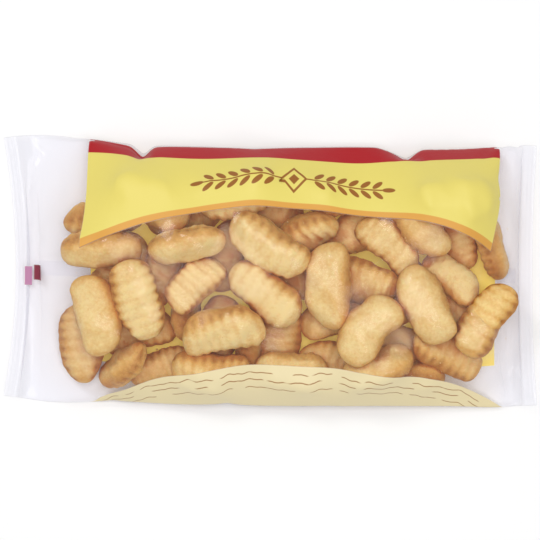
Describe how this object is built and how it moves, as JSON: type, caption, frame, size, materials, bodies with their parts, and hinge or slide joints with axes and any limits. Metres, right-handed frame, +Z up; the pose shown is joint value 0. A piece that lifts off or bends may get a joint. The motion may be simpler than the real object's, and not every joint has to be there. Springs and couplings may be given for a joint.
{
  "type": "bag of madeleine cakes",
  "caption": "Clear pillow bag of small madeleine cakes, with a printed banner, lying on its back with both crimped end seals flat.",
  "frame": {"origin": "middle of the bag's box, on the surface that the bag lies on", "axes": "+X along the bag towards its right-hand seal, +Y towards its top edge, +Z up out of the printed front"},
  "size_m": [0.427, 0.2199, 0.0605],
  "materials": {
    "film": "gloss",
    "crust": "matte"
  },
  "bodies": {
    "root": {"bag": "film"}
  },
  "joints": []
}
